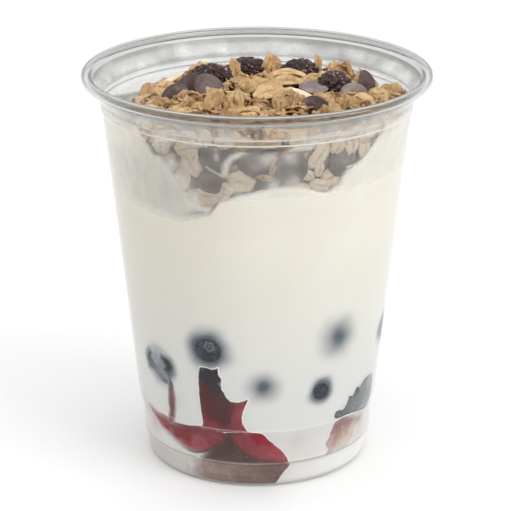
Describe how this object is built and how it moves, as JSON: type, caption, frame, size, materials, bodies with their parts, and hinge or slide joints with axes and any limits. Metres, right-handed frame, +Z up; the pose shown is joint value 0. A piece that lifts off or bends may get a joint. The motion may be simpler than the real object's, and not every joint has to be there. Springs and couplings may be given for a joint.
{
  "type": "yogurt parfait",
  "caption": "Clear plastic cup of yogurt over blueberries and red fruit, heaped with granola, chocolate drops and dried fruit; it stands on its foot.",
  "frame": {"origin": "middle of the cup's foot, on the surface that it stands on", "axes": "+Z up along the cup's axis, -Y towards the front, +X to the right seen from the front"},
  "size_m": [0.098, 0.098, 0.1136],
  "materials": {
    "clear_plastic": "clear thin thermoformed plastic, smooth and glossy",
    "yogurt": "thick plain yogurt, smooth, cream white",
    "juice": "dark fruit juice",
    "toasted_oats": "toasted rolled oats in small clusters, matte with a slight sugar gloss",
    "blue_skin": "dark blue berry skin with a pale bloom",
    "red_flesh": "soft wet red fruit",
    "chocolate": "dark chocolate with a greyish bloom",
    "dried_skin": "wrinkled dark dried fruit"
  },
  "bodies": {
    "root": {"cup": "clear_plastic", "yogurt": "yogurt", "berry_juice": "juice", "granola": "toasted_oats", "blueberry_1": "blue_skin", "blueberry_2": "blue_skin", "blueberry_3": "blue_skin", "blueberry_4": "blue_skin", "blueberry_5": "blue_skin", "blueberry_6": "blue_skin", "blueberry_7": "blue_skin", "blueberry_8": "blue_skin", "blueberry_9": "blue_skin", "red_fruit_left": "red_flesh", "red_fruit_column": "red_flesh", "red_fruit_front": "red_flesh", "red_fruit_right": "red_flesh", "red_fruit_back": "red_flesh", "red_fruit_side": "red_flesh", "chocolate_drop_1": "chocolate", "chocolate_drop_2": "chocolate", "chocolate_drop_3": "chocolate", "chocolate_drop_4": "chocolate", "chocolate_drop_5": "chocolate", "chocolate_drop_6": "chocolate", "chocolate_drop_7": "chocolate", "chocolate_drop_8": "chocolate", "chocolate_drop_9": "chocolate", "chocolate_drop_10": "chocolate", "chocolate_drop_11": "chocolate", "chocolate_drop_12": "chocolate", "dried_fruit_1": "dried_skin", "dried_fruit_2": "dried_skin", "dried_fruit_3": "dried_skin", "dried_fruit_4": "dried_skin"}
  },
  "joints": []
}
